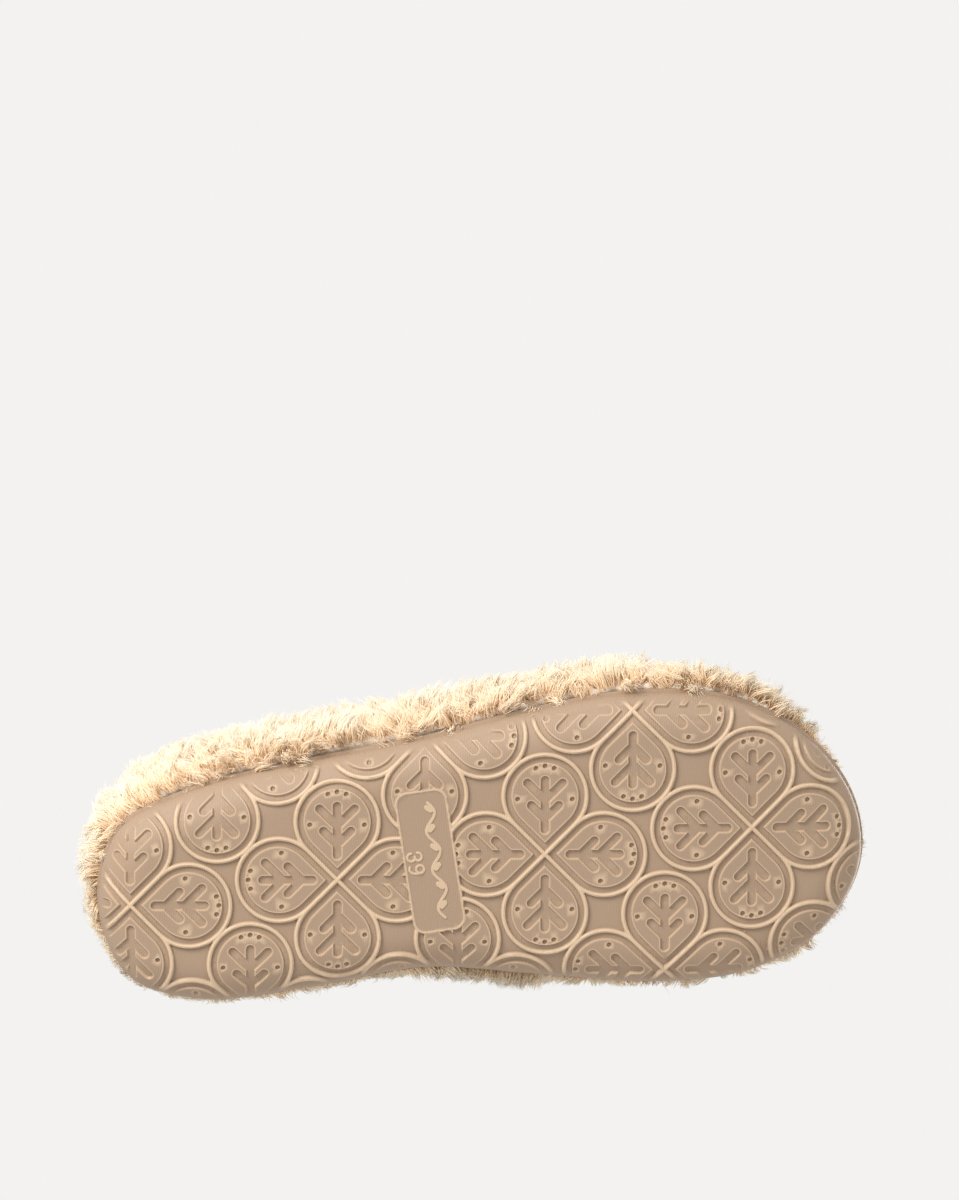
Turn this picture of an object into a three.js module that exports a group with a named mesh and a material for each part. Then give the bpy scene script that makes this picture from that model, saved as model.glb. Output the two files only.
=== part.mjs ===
// Fluffy house slipper, right foot, size EU 39. Millimetres, +Z up, standing on Z = 0.
// The toe points to -Y and the outer (little toe) side of the foot is towards -X.
import * as THREE from 'three';
import { mergeVertices } from 'three/addons/utils/BufferGeometryUtils.js';

// Driving dimensions of the sole unit.
const rollWidth = 14;
const rollHeight = 11;
const lipHeight = 16;
const lipBottom = 14.2;
const lipProud = 0.7;
const lipWidth = 3.1;
const treadThickness = 5;
const toeSpring = { from: 185, length: 80, height: 8 };
const heelLift = { length: 25, height: 2 };

// Layers on top of the tread, from the ground up.
const boardThickness = 1.6;
const foamThickness = 5.7;
const fleeceThickness = 6.7;
const gap = 0.3;

// Layers of the upper, measured inwards from the face that the outer fabric is glued to.
const outerPile = 6;
const interlining = 1.5;
const liningPile = 4.9;
const collarRadius = 6.5;
const threadRadius = 0.7;

// How finely the curved pieces are divided.
const columnsPerStation = 3;
const rows = 7;
const threadSides = 5;
const collarSides = 10;

// Stations round the foot, from the back of the heel along the outer side to the toe and back along
// the inner side. edge is the outline of the sole and mouth is the rim of the opening, both as
// distance forward from the heel and distance to the outer side, and mouth also has its height.
// swell is how far the upper bulges outwards and how far inside the outline it starts.
const stations = [
  { edge: [0, 0], mouth: [11, 0, 70], swell: [7, 2.5] },
  { edge: [9, 24.5], mouth: [17, 19, 68.5], swell: [9, 2.5] },
  { edge: [35, 36.2], mouth: [37, 30, 63.5], swell: [10, 2.5] },
  { edge: [75, 43], mouth: [67, 35.5, 60], swell: [9, 2.5] },
  { edge: [115, 47.5], mouth: [96, 37, 61], swell: [8, 2.5] },
  { edge: [155, 54.5], mouth: [119, 34.5, 66], swell: [6, 2.5] },
  { edge: [190, 57.6], mouth: [133, 28, 72.5], swell: [4, 2.5] },
  { edge: [222, 53], mouth: [140.5, 21, 77], swell: [3, 2.7] },
  { edge: [248, 37], mouth: [144, 13.5, 79.5], swell: [2.5, 3.6] },
  { edge: [262.5, 14], mouth: [145, 7, 80.5], swell: [2, 4.8] },
  { edge: [263, -9], mouth: [144.5, 0.5, 80.5], swell: [2, 4.8] },
  { edge: [248, -30.5], mouth: [142, -7, 79.5], swell: [2.5, 3.6] },
  { edge: [222, -41.8], mouth: [136.5, -14, 76.5], swell: [2, 2.7] },
  { edge: [190, -43], mouth: [126, -20.5, 71], swell: [2, 2.5] },
  { edge: [150, -37.3], mouth: [108.5, -25.5, 65.5], swell: [4, 2.5] },
  { edge: [110, -31.5], mouth: [88, -29, 61.5], swell: [6, 2.5] },
  { edge: [70, -35.2], mouth: [62, -30.5, 60], swell: [6, 2.5] },
  { edge: [32, -36.2], mouth: [36, -27, 63.5], swell: [6, 2.5] },
  { edge: [8, -26], mouth: [17, -17, 68.5], swell: [6, 2.5] },
];
const middle = [130, 7];
const columns = stations.length * columnsPerStation;

// Columns where the panels of the upper meet.
const lateralSeam = 14;
const medialSeam = 44;
const counterReach = 8;
const puffReach = 8;
const toeColumn = 28.5;
const tapeHalf = 1;

const colours = {
  rubber: { color: 0xb99a7c, roughness: 0.75 },
  foam: { color: 0xe9e2d2, roughness: 0.9 },
  board: { color: 0xcbb48d, roughness: 0.9 },
  pile: { color: 0xe8d3bb, roughness: 1 },
  lining: { color: 0xefe0cb, roughness: 1 },
  felt: { color: 0xd8d4cb, roughness: 0.95 },
  stiffener: { color: 0xc3b8a4, roughness: 0.8 },
  tape: { color: 0xe4d9c4, roughness: 0.9 },
  thread: { color: 0xd9c3a2, roughness: 0.6 },
};

const toFrame = ([forward, outward, height = 0]) => new THREE.Vector3(-outward, -forward, height);
const edgeCurve = new THREE.CatmullRomCurve3(stations.map((s) => toFrame(s.edge)), true);
const mouthCurve = new THREE.CatmullRomCurve3(stations.map((s) => toFrame(s.mouth)), true);
const swellCurve = new THREE.CatmullRomCurve3(
  stations.map(({ swell: [bulge, inset] }) => new THREE.Vector3(bulge, inset, 0)), true);
const centre = toFrame(middle);
const up = new THREE.Vector3(0, 0, 1);
const wrapped = (turn) => ((turn % 1) + 1) % 1;

// How far the sole curls up off the ground at a place along its length.
function spring(y) {
  const forward = -y;
  const toe = Math.max(0, (forward - toeSpring.from) / toeSpring.length);
  const heel = Math.max(0, (heelLift.length - forward) / heelLift.length);
  return toeSpring.height * toe ** 2 + heelLift.height * heel ** 2;
}

function outwardAt(turn) {
  const along = edgeCurve.getTangent(wrapped(turn));
  return new THREE.Vector3(along.y, -along.x, 0).normalize();
}

// A place on the sole, inset from its outline. Past straightInset it runs on to the middle, which
// is reached at fullInset.
const straightInset = 18;
const fullInset = 40;
function planPoint(turn, inset) {
  const straight = Math.min(inset, straightInset);
  const point = edgeCurve.getPoint(wrapped(turn)).addScaledVector(outwardAt(turn), -straight);
  const share = Math.max(0, inset - straightInset) / (fullInset - straightInset);
  return point.lerp(centre, share);
}

// The upper as a surface: turn goes round the foot and rise goes from the sole to the mouth.
function ribPoint(turn, rise) {
  const { x: bulge, y: inset } = swellCurve.getPoint(wrapped(turn));
  const foot = planPoint(turn, inset);
  foot.z = lipHeight + gap + spring(foot.y);
  const rim = mouthCurve.getPoint(wrapped(turn));
  const climb = rim.z - foot.z;
  const across = foot.clone().sub(rim).setZ(0);
  const low = foot.clone().addScaledVector(outwardAt(turn), bulge).addScaledVector(up, climb * 0.66);
  const high = rim.clone().addScaledVector(across, 0.48).addScaledVector(up, climb * -0.22);
  high.addScaledVector(outwardAt(turn), bulge * 0.3);
  return new THREE.CubicBezierCurve3(foot, low, high, rim).getPoint(rise);
}

function ribFrame(turn, rise) {
  const turnStep = 0.002;
  const riseStep = 0.01;
  const low = Math.max(0, rise - riseStep);
  const high = Math.min(1, rise + riseStep);
  const along = ribPoint(turn + turnStep, rise).sub(ribPoint(turn - turnStep, rise));
  const climbing = ribPoint(turn, high).sub(ribPoint(turn, low)).normalize();
  const inward = climbing.clone().cross(along).normalize();
  return { climbing, inward };
}

// The lower edge of every layer is cut along the top of the sole, so its thickness is level there.
const levelShare = 0.12;
function upperPoint(turn, rise, depth) {
  const { inward } = ribFrame(turn, rise);
  const free = Math.min(1, rise / levelShare);
  inward.z *= free;
  const point = ribPoint(turn, rise);
  const before = spring(point.y);
  point.addScaledVector(inward.normalize(), depth);
  point.z += (spring(point.y) - before) * (1 - free);
  return point;
}

// Moves each vertex of a three.js geometry and closes it into one body that faces outwards.
function shaped(geometry, place) {
  const { position, uv } = geometry.attributes;
  for (let i = 0; i < position.count; i++) {
    const from = new THREE.Vector3().fromBufferAttribute(position, i);
    const to = place(from, uv.getX(i), uv.getY(i));
    position.setXYZ(i, to.x, to.y, to.z);
  }
  geometry.deleteAttribute('normal');
  geometry.deleteAttribute('uv');
  const merged = mergeVertices(geometry, 1e-3);
  const index = merged.index.array;
  const corner = [new THREE.Vector3(), new THREE.Vector3(), new THREE.Vector3()];
  const kept = [];
  let volume = 0;
  for (let i = 0; i < index.length; i += 3) {
    const [a, b, c] = index.slice(i, i + 3);
    if (a !== b && b !== c && c !== a) {
      kept.push(a, b, c);
      [a, b, c].forEach((v, k) => corner[k].fromBufferAttribute(merged.attributes.position, v));
      volume += corner[0].dot(corner[1].clone().cross(corner[2]));
    }
  }
  merged.setIndex(volume < 0 ? kept.reverse() : kept);
  merged.computeVertexNormals();
  return merged;
}

// A layer of the sole: profile lists [inset, height] from the middle of its top, over its edge and
// back to the middle of its underside.
function soleLayer(profile, extraInset = () => 0) {
  const flat = profile.map(([inset, height]) => new THREE.Vector2(fullInset - inset, height));
  return shaped(new THREE.LatheGeometry(flat, columns), (from, turn, step) => {
    const [inset, height] = profile[Math.round(step * (profile.length - 1))];
    const to = planPoint(turn, inset < straightInset ? inset + extraInset(turn) : inset);
    to.z = height + spring(to.y);
    return to;
  });
}

// How much narrower the pads are where the upper starts further inside than it does along the sides.
const sideInset = 2.5;
const drawShare = 1.5;
const drawnIn = (turn) => drawShare * Math.max(0, swellCurve.getPoint(wrapped(turn)).y - sideInset);

// A slab of even thickness with a slightly rounded edge.
function soleSlab(inset, bottom, thickness, round, extraInset) {
  const top = bottom + thickness;
  return soleLayer([
    [fullInset, top],
    [29, top],
    [straightInset, top],
    [inset + round, top],
    [inset, top - round],
    [inset, bottom + round],
    [inset + round, bottom],
    [straightInset, bottom],
    [29, bottom],
    [fullInset, bottom],
  ], extraInset);
}

// A panel of the upper between two columns and two heights, with a gap to its neighbours.
function upperPanel([first, last], [low, high], [outside, inside]) {
  const seamTurn = 0.0005;
  const seamRise = 0.004;
  const across = Math.round(last - first);
  const panelRows = Math.max(1, Math.round((high - low) * rows));
  return shaped(new THREE.BoxGeometry(1, 1, 1, across, panelRows, 1), (from) => {
    const turn = (first + (from.x + 0.5) * (last - first)) / columns - Math.sign(from.x) * seam(from.x, seamTurn);
    const rise = low + (from.y + 0.5) * (high - low) - Math.sign(from.y) * seam(from.y, seamRise);
    return upperPoint(turn, Math.max(0, rise), outside + (from.z + 0.5) * (inside - outside));
  });
}

// The seam allowance of a panel's own edge, which its inner columns and rows don't have.
function seam(place, allowance) {
  return Math.abs(Math.abs(place) - 0.5) < 1e-6 ? allowance : 0;
}

// A closed ring of round section that follows centreAt, with the section in the plane of two axes.
function ring(sides, radius, centreAt) {
  return shaped(new THREE.TorusGeometry(2, 1, sides, columns), (from, turn, part) => {
    const { point, across, along } = centreAt(turn);
    const angle = part * Math.PI * 2;
    const to = point.addScaledVector(across, radius * Math.cos(angle));
    return to.addScaledVector(along, radius * Math.sin(angle));
  });
}

function mouthRing(depth, height) {
  return (turn) => {
    const { climbing, inward } = ribFrame(turn, 1);
    const point = ribPoint(turn, 1).addScaledVector(inward, depth).addScaledVector(climbing, height);
    return { point, across: inward, along: climbing };
  };
}

function levelRing(inset, height) {
  return (turn) => {
    const point = planPoint(turn, inset + drawnIn(turn));
    point.z = height + spring(point.y);
    return { point, across: outwardAt(turn), along: up };
  };
}

// The moulded sole: a tread whose edge rolls up into a low wall with a thin lip round its top.
function outsole() {
  const rollSteps = 5;
  const roll = [];
  for (let i = 0; i <= rollSteps; i++) {
    const angle = (i / rollSteps) * (Math.PI / 2);
    roll.push([rollWidth * (1 - Math.sin(angle)), rollHeight * (1 - Math.cos(angle))]);
  }
  return soleLayer([
    [fullInset, treadThickness],
    [29, treadThickness],
    [straightInset, treadThickness],
    [9, treadThickness],
    [4.6, 9],
    [lipWidth, 12],
    [lipWidth, lipHeight],
    [-lipProud, lipHeight],
    [-lipProud, lipBottom],
    [0, lipBottom - 0.5],
    ...roll.reverse(),
    [29, 0],
    [fullInset, 0],
  ]);
}

function midsole() {
  const top = lipHeight - boardThickness - gap;
  const bottom = treadThickness + gap;
  const inset = lipWidth + gap;
  return soleLayer([
    [fullInset, top],
    [29, top],
    [straightInset, top],
    [inset, top],
    [inset, 12.2],
    [inset + 1.6, 9.3],
    [9.4, bottom],
    [straightInset, bottom],
    [29, bottom],
    [fullInset, bottom],
  ]);
}

const slipper = new THREE.Group();
function add(name, finish, geometry) {
  const material = new THREE.MeshStandardMaterial({ metalness: 0, ...colours[finish] });
  const mesh = new THREE.Mesh(geometry, material);
  mesh.name = name;
  slipper.add(mesh);
}

// Sole and footbed.
const padBottom = lipHeight + gap;
const fleeceBottom = padBottom + foamThickness + gap;
add('outsole', 'rubber', outsole());
add('midsole_foam', 'foam', midsole());
add('insole_board', 'board', soleSlab(lipWidth + gap, lipHeight - boardThickness, boardThickness, 0.3));
add('memory_foam_pad', 'foam', soleSlab(12, padBottom, foamThickness, 1.2, drawnIn));
add('footbed_fleece', 'lining', soleSlab(11, fleeceBottom, fleeceThickness, 2, drawnIn));
add('strobel_thread', 'thread', ring(threadSides, threadRadius, levelRing(10.6, padBottom + threadRadius)));

// The three layers of the upper, as depths inwards from the glued face.
const outerLayer = [-outerPile, 0];
const middleLayer = [gap, gap + interlining];
const innerLayer = [gap * 2 + interlining, gap * 2 + interlining + liningPile];
const full = [0, 1];
const vamp = [lateralSeam, medialSeam];
const lateralQuarter = [0, lateralSeam];
const medialQuarter = [medialSeam, columns];

add('vamp_outer', 'pile', upperPanel(vamp, full, outerLayer));
add('quarter_outer_lateral', 'pile', upperPanel(lateralQuarter, full, outerLayer));
add('quarter_outer_medial', 'pile', upperPanel(medialQuarter, full, outerLayer));
add('vamp_lining', 'lining', upperPanel(vamp, full, innerLayer));
add('quarter_lining_lateral', 'lining', upperPanel(lateralQuarter, full, innerLayer));
add('quarter_lining_medial', 'lining', upperPanel(medialQuarter, full, innerLayer));

// Between them lie the stiffeners at the toe and heel, the felt and the tapes behind the seams.
const puffHigh = 3 / rows;
const counterHigh = 5 / rows;
const puff = [toeColumn - puffReach - 0.5, toeColumn + puffReach + 0.5];
add('toe_puff', 'stiffener', upperPanel(puff, [0, puffHigh], middleLayer));
add('vamp_interlining_toe', 'felt', upperPanel(puff, [puffHigh, 1], middleLayer));
add('vamp_interlining_lateral', 'felt', upperPanel([lateralSeam + tapeHalf, puff[0]], full, middleLayer));
add('vamp_interlining_medial', 'felt', upperPanel([puff[1], medialSeam - tapeHalf], full, middleLayer));
add('seam_tape_lateral', 'tape', upperPanel([lateralSeam - tapeHalf, lateralSeam + tapeHalf], full, middleLayer));
add('seam_tape_medial', 'tape', upperPanel([medialSeam - tapeHalf, medialSeam + tapeHalf], full, middleLayer));
add('heel_counter', 'stiffener', upperPanel([-counterReach, counterReach], [0, counterHigh], middleLayer));
add('back_seam_tape', 'tape', upperPanel([-counterReach, counterReach], [counterHigh, 1], middleLayer));
add('quarter_interlining_lateral', 'felt', upperPanel([counterReach, lateralSeam - tapeHalf], full, middleLayer));
add('quarter_interlining_medial', 'felt', upperPanel(
  [medialSeam + tapeHalf, columns - counterReach], full, middleLayer));

// The padded roll round the mouth and the thread that holds it.
const collarLift = collarRadius + gap + 0.05;
add('collar_roll', 'lining', ring(collarSides, collarRadius, mouthRing(0.5, collarLift)));
add('topline_thread', 'thread', ring(threadSides, 0.6, mouthRing(-4.5, 1)));

// The origin is under the middle of the whole slipper, on the ground.
const box = new THREE.Box3().setFromObject(slipper);
const middleOfBox = box.getCenter(new THREE.Vector3());
slipper.position.set(-middleOfBox.x, -middleOfBox.y, 0);

export default slipper;
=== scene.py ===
import math

import bmesh
import bpy
import numpy as np
from mathutils import Matrix, Vector, noise
from mathutils.bvhtree import BVHTree
from mathutils.geometry import delaunay_2d_cdt
from mathutils.kdtree import KDTree


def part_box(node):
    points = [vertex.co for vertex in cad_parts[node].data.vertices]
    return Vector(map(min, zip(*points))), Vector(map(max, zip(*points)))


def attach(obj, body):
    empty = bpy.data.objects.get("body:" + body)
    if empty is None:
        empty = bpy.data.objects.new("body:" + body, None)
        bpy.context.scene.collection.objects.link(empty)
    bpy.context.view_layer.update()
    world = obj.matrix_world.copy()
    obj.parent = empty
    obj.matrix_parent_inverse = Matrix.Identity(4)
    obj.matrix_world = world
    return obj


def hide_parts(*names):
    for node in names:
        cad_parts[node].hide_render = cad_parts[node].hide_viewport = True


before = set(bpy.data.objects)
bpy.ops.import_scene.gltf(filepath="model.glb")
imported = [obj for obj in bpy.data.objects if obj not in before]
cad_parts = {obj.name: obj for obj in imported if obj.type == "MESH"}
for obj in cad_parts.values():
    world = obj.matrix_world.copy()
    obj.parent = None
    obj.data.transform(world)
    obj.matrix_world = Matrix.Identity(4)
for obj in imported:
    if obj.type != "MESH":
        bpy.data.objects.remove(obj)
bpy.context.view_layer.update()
soleLow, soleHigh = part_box("outsole")
mm = 0.001

# The footprint, as distance forward from the back of the heel and distance to the outer side.
sole = {
    "outline": [
        (0, 0), (9, 24.5), (35, 36.2), (75, 43), (115, 47.5), (155, 54.5), (190, 57.6), (222, 53),
        (248, 37), (262.5, 14), (263, -9), (248, -30.5), (222, -41.8), (190, -43), (150, -37.3),
        (110, -31.5), (70, -35.2), (32, -36.2), (8, -26),
    ],
    "lipProud": 0.7,
    "rollWidth": 14.0,
    "rollHeight": 11.0,
    "wallTop": 16.0,
    "cup": ((2.6, 0), (3.1, -0.5), (3.1, -4), (4.6, -7), (9, -10.7), (16, -11)),  # inset, height
    "toeSpring": (185.0, 80.0, 8.0),  # where it starts, over what length, how high
    "heelLift": (25.0, 2.0),
}


def link(name, mesh, material):
    piece = bpy.data.objects.new(name, mesh)
    bpy.context.scene.collection.objects.link(piece)
    mesh.materials.clear()
    mesh.materials.append(material)
    return piece


def fromBmesh(name, bm, material, crease=180):
    # smooth, but for edges that bend more than crease degrees
    mesh = bpy.data.meshes.new(name)
    for face in bm.faces:
        face.smooth = True
    bm.to_mesh(mesh)
    bm.free()
    mesh.set_sharp_from_angle(angle=math.radians(crease))
    return link(name, mesh, material)


def newMaterial(name):
    material = bpy.data.materials.new(name)
    material.use_nodes = True
    tree = material.node_tree
    return material, tree, tree.nodes["Principled BSDF"]


def node(tree, kind, **values):
    made = tree.nodes.new(kind)
    for key, value in values.items():
        if key in made.inputs:
            made.inputs[key].default_value = value
        else:
            setattr(made, key, value)
    return made


def smoothStep(x, low, high):
    t = np.clip((x - low) / (high - low), 0, 1)
    return t * t * (3 - 2 * t)


def closedCurve(points, perSpan):
    # a smooth closed curve through the points, each span timed by the root of its length
    p = np.array(points, float)
    out = []
    for i in range(len(p)):
        a, b, c, d = p[i - 1], p[i], p[(i + 1) % len(p)], p[(i + 2) % len(p)]
        t0, t1, t2 = [math.sqrt(np.linalg.norm(v)) for v in (b - a, c - b, d - c)]
        leave = ((b - a) / t0 - (c - a) / (t0 + t1) + (c - b) / t1) * t1
        arrive = ((c - b) / t1 - (d - b) / (t1 + t2) + (d - c) / t2) * t1
        for k in range(perSpan):
            t = k / perSpan
            out.append(b + leave * t + (3 * (c - b) - 2 * leave - arrive) * t**2
                       + (2 * (b - c) + leave + arrive) * t**3)
    return np.array(out)


def evenly(points, step):
    # the same closed line with its points about one step apart
    ring = np.vstack([points, points[:1]])
    along = np.concatenate([[0], np.cumsum(np.linalg.norm(np.diff(ring, axis=0), axis=1))])
    count = max(3, round(along[-1] / step))
    at = np.arange(count) * along[-1] / count
    return np.column_stack([np.interp(at, along, ring[:, k]) for k in range(2)])


def outwardOf(points):
    along = np.roll(points, -1, axis=0) - np.roll(points, 1, axis=0)
    along /= np.linalg.norm(along, axis=1, keepdims=True)
    return np.column_stack([-along[:, 1], along[:, 0]])


def springAt(forward):
    start, length, height = sole["toeSpring"]
    heelLength, heelHeight = sole["heelLift"]
    toe = np.maximum(0, (forward - start) / length)
    heel = np.maximum(0, (heelLength - forward) / heelLength)
    return height * toe**2 + heelHeight * heel**2


def toFrame(forward, outward, height):
    x = soleLow.x / mm + (outlineOut - outward)
    y = soleHigh.y / mm - sole["lipProud"] - forward
    return np.column_stack([x, y, height]) * mm


outline = closedCurve(sole["outline"], 30)
outlineOut = outline[:, 1].max() + sole["lipProud"]

tread = {
    "crossing": (154.5, 6.2),  # one place where four drops meet
    "repeat": ((71.3, 3.1), (37.6, -43.8)),
    "tilt": -4.6,  # degrees between the drops' axes and the sole's
    "dropRadius": 14.2,
    "ridgeHalf": 0.95,
    "ridgeHeight": 1.3,
    "plateauInset": 2.7,
    "plateauHeight": 1.0,
    "channelHalf": 1.4,
    "wall": 0.17,  # half the width of a plateau's sloping edge
    "step": 0.85,  # along an outline
    "field": 3.1,  # spacing of the mesh between the outlines
    "rings": (0.12, 0.4, 0.9, 1.6, 2.6, 4, 5.6, 7.5, 10, 12.5, 15),  # lines of the mesh inside the edge
    "fade": (0.9, 3.6),  # the relief dies out this near the edge
    "edgeDepth": 0.35,
}
# A sprig cut into each drop, from its tip outwards: a stem, two pairs of side shoots and round pips.
sprig = {
    "strokes": [((8.5, 0), (25.5, 0)), ((12.2, 0), (16.9, 4.7)), ((18.6, 0), (24.6, 6))],
    "pips": [(19, 9.3, 0.8), (29.6, 3.1, 0.8), (30.4, 0, 0.8)],
}
# A raised label across the waist with a plain vine and a size numeral.
label = {
    "centre": (115.3, 7),
    "lean": 4.1,
    "half": (9.1, 24.7),
    "corner": 4.4,
    "height": 0.95,
    "rim": 0.3,
    "vine": {"at": 2.2, "reach": 20.0, "swing": 1.9, "waves": 3.0, "half": 0.5, "leafHalf": 0.95},
    "numeral": {"at": -5.0, "size": 2.7, "gap": 4.4, "half": 0.42},
}


def turned(points, degrees):
    a = math.radians(degrees)
    p = np.atleast_2d(points)
    return np.column_stack([p[:, 0] * math.cos(a) - p[:, 1] * math.sin(a),
                            p[:, 0] * math.sin(a) + p[:, 1] * math.cos(a)])


def strokeDistance(points, line):
    best = np.full(len(points), 1e9)
    for a, b in zip(line[:-1], line[1:]):
        a, b = np.array(a, float), np.array(b, float)
        t = np.clip(((points - a) @ (b - a)) / max(1e-9, (b - a) @ (b - a)), 0, 1)
        best = np.minimum(best, np.linalg.norm(points - a - t[:, None] * (b - a), axis=1))
    return best


def besideStroke(line, offset):
    # a closed line round a stroke, the same distance away everywhere
    line = np.array(line, float)
    along = np.gradient(line, axis=0)
    along /= np.linalg.norm(along, axis=1, keepdims=True)
    side = np.column_stack([-along[:, 1], along[:, 0]])
    caps = []
    for end, way, first in ((line[-1], along[-1], 67.5), (line[0], along[0], -112.5)):
        arc = np.radians(first - np.arange(7) * 22.5) + math.atan2(way[1], way[0])
        caps.append(end + offset * np.column_stack([np.cos(arc), np.sin(arc)]))
    return np.vstack([line + side * offset, caps[0], (line - side * offset)[::-1], caps[1]])


def crossings():
    start = np.array(tread["crossing"])
    a, b = np.array(tread["repeat"])
    found = [start + i * a + j * b for i in range(-4, 5) for j in range(-3, 4)]
    return [c for c in found if -35 < c[0] < 300 and -80 < c[1] < 95]


def dropFrames():
    for c in crossings():
        for quarter in range(4):
            yield c, tread["tilt"] + 90 * quarter


def dropDistance(local):
    # local places of a drop with its tip at 0 and its axis along +u, negative inside
    r = tread["dropRadius"]
    u = local[:, 0] - r * math.sqrt(2)
    v = np.abs(local[:, 1])
    straight = (v - local[:, 0]) / math.sqrt(2)
    return np.where(u < -v, straight, np.hypot(u, v) - r)


def sprigDistance(local):
    place = np.column_stack([local[:, 0], np.abs(local[:, 1])])
    best = np.full(len(place), 1e9)
    for line in sprig["strokes"]:
        best = np.minimum(best, strokeDistance(place, line) - tread["channelHalf"])
    for u, v, radius in sprig["pips"]:
        best = np.minimum(best, np.hypot(place[:, 0] - u, place[:, 1] - v) - radius)
    return best


def labelLocal(points):
    return turned(points - np.array(label["centre"]), -label["lean"])


def labelDistance(local):
    half, corner = label["half"], label["corner"]
    over = np.abs(local) - (np.array(half) - corner)
    return np.linalg.norm(np.maximum(over, 0), axis=1) + np.minimum(over.max(axis=1), 0) - corner


def labelStrokes():
    # (line, half width) of each raised mark: a vine with leaves and the size numeral
    vine, number = label["vine"], label["numeral"]

    def sway(at):
        return vine["at"] + vine["swing"] * math.sin(at / vine["reach"] * math.pi * vine["waves"])

    along = np.linspace(-vine["reach"], vine["reach"], 61)
    yield np.array([(sway(t), t) for t in along]), vine["half"]
    for k in range(int(vine["waves"] * 2)):
        at = -vine["reach"] + (k + 0.5) * vine["reach"] / vine["waves"]
        side = -1 if sway(at) > vine["at"] else 1
        root = np.array([sway(at), at])
        yield np.array([root + [side * 1.3, 0.7], root + [side * 2.4, 1.7]]), vine["leafHalf"]
    size = number["size"]
    arc = np.radians(np.arange(-100, 181, 20))
    bowl = np.column_stack([np.sin(arc), np.cos(arc)]) * 0.5
    turn = np.radians(np.arange(0, 341, 20))
    eye = np.column_stack([np.sin(turn), np.cos(turn)]) * 0.5 + [0, 0.45]
    tail = [(0.5, 0.45), (0.5, -0.2), (0.36, -0.66), (0, -0.92), (-0.4, -0.8)]
    three, nine = (bowl * [1, 0.9] + [0, 0.45], bowl * [1, -1.0] - [0, 0.45]), (eye, tail)
    for lines, place in ((three, -0.5), (nine, 0.5)):
        for line in lines:
            p = np.array(line, float) * size
            where = np.column_stack([number["at"] + p[:, 1], -place * number["gap"] - p[:, 0]])
            yield where, number["half"]


def reliefAt(points):
    # height of the tread above its field, and how pale a place is: how far it lies inside a ridge or on
    # the label's rim and marks, plus a painted highlight along the plateau and sprig edges
    rise, pale = np.zeros(len(points)), np.zeros(len(points))
    ridge = np.full(len(points), 1e9)
    wall = tread["wall"]
    for c, angle in dropFrames():
        near = np.abs(points - c).max(axis=1) < 40
        local = turned(points[near] - c, -angle)
        inside = dropDistance(local)
        ridge[near] = np.minimum(ridge[near], np.abs(inside))
        top = np.minimum(-inside - tread["plateauInset"], sprigDistance(local))
        rise[near] = np.maximum(rise[near], tread["plateauHeight"] * smoothStep(top, -wall, wall))
        # a narrow pale band along each plateau and sprig edge: a painted highlight on the rounded edge
        pale[near] = np.maximum(pale[near], 0.75 * (1 - smoothStep(np.abs(top - wall), 0, 0.5)))
    bead = np.sqrt(np.clip(1 - (ridge / tread["ridgeHalf"]) ** 2, 0, 1))
    rise = np.maximum(rise, tread["ridgeHeight"] * bead)
    pale = np.maximum(pale, bead)
    local = labelLocal(points)
    inside = labelDistance(local)
    near, on = inside < 0.3, inside < -0.1
    panel = label["height"] * smoothStep(-inside, -0.3, 0.1)
    rise = np.where(near, np.maximum(rise, panel), rise)
    rim = np.sqrt(np.clip(1 - ((inside + 0.5) / 0.55) ** 2, 0, 1)) * label["rim"]
    marks = np.full(len(points), 1e9)
    for line, half in labelStrokes():
        marks[on] = np.minimum(marks[on], strokeDistance(local[on], line) - half)
    mark = 1 - smoothStep(marks, -0.15, 0.15)
    rise = np.where(on, np.maximum(panel + rim, panel + label["rim"] * mark), rise)
    pale = np.where(on, np.maximum(rim / label["rim"], mark) * 0.8, pale)
    return rise, pale


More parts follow.
